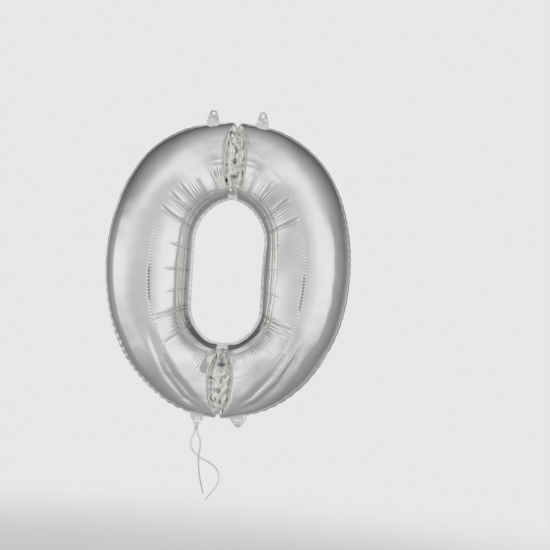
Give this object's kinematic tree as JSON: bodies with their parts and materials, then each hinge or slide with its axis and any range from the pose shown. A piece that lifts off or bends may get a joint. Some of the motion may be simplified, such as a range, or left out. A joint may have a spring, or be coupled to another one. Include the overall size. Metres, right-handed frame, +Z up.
{
  "type": "foil number balloon",
  "caption": "Inflated silver foil balloon in the shape of a figure 0, with hanging tabs, a filling neck with a self-sealing valve, and a tied curling ribbon.",
  "frame": {"origin": "midway between the two hanging holes in the top tabs, in the plane of the welded seam", "axes": "+Z up, the front of the figure faces -Y, +X to the right seen from the front"},
  "size_m": [0.644, 0.19, 1.0275],
  "materials": {
    "silver_foil": "polished",
    "valve_film": "satin",
    "ribbon": "satin"
  },
  "bodies": {
    "envelope": {"front_foil": "silver_foil", "back_foil": "silver_foil", "valve_sleeve": "valve_film"},
    "top_left_tab": {"top_left_tab_front": "silver_foil", "top_left_tab_back": "silver_foil"},
    "top_right_tab": {"top_right_tab_front": "silver_foil", "top_right_tab_back": "silver_foil"},
    "bottom_left_tab": {"bottom_left_tab_front": "silver_foil", "bottom_left_tab_back": "silver_foil"},
    "filling_neck": {"neck_front_layer": "silver_foil", "neck_back_layer": "silver_foil", "valve_mouth": "valve_film"},
    "valve_front": {"valve_front_flap": "valve_film"},
    "valve_back": {"valve_back_flap": "valve_film"},
    "ribbon_ring": {"ribbon_loop": "ribbon"},
    "ribbon": {"ribbon_knot": "ribbon", "ribbon_long_tail": "ribbon", "ribbon_short_tail": "ribbon"}
  },
  "joints": [
    {"name": "top_left_fold", "type": "hinge", "parent": "envelope", "child": "top_left_tab", "pos_m": [-0.065, 0, -0.019], "axis": [1, 0, 0], "range_deg": [-85, 85], "stiffness_Nm_per_rad": 0.00003},
    {"name": "top_right_fold", "type": "hinge", "parent": "envelope", "child": "top_right_tab", "pos_m": [0.065, 0, -0.019], "axis": [1, 0, 0], "range_deg": [-85, 85], "stiffness_Nm_per_rad": 0.00003},
    {"name": "bottom_left_fold", "type": "hinge", "parent": "envelope", "child": "bottom_left_tab", "pos_m": [-0.0543, 0, -0.801], "axis": [1, 0, 0], "range_deg": [-85, 85], "stiffness_Nm_per_rad": 0.00003},
    {"name": "neck_fold", "type": "hinge", "parent": "envelope", "child": "filling_neck", "pos_m": [0.0543, 0, -0.801], "axis": [1, 0, 0], "range_deg": [-85, 85], "stiffness_Nm_per_rad": 0.00003},
    {"name": "valve_front_open", "type": "hinge", "parent": "envelope", "child": "valve_front", "pos_m": [0.0543, 0, -0.7831], "axis": [1, 0, 0], "range_deg": [0, 4], "stiffness_Nm_per_rad": 0.00001},
    {"name": "valve_back_open", "type": "hinge", "parent": "envelope", "child": "valve_back", "pos_m": [0.0543, 0, -0.7831], "axis": [1, 0, 0], "range_deg": [-4, 0], "stiffness_Nm_per_rad": 0.00001},
    {"name": "ribbon_roll", "type": "hinge", "parent": "bottom_left_tab", "child": "ribbon_ring", "pos_m": [-0.0543, 0, -0.8185], "axis": [1, 0, 0], "range_deg": [-85, 85]},
    {"name": "ribbon_swing", "type": "hinge", "parent": "ribbon_ring", "child": "ribbon", "pos_m": [-0.0543, 0, -0.8241], "axis": [0, 1, 0], "range_deg": [-45, 45]}
  ],
  "couplings": [
    {"joint": "valve_back_open", "follows": "valve_front_open", "ratio": -1},
    {"joint": "ribbon_roll", "follows": "bottom_left_fold", "ratio": -1}
  ]
}
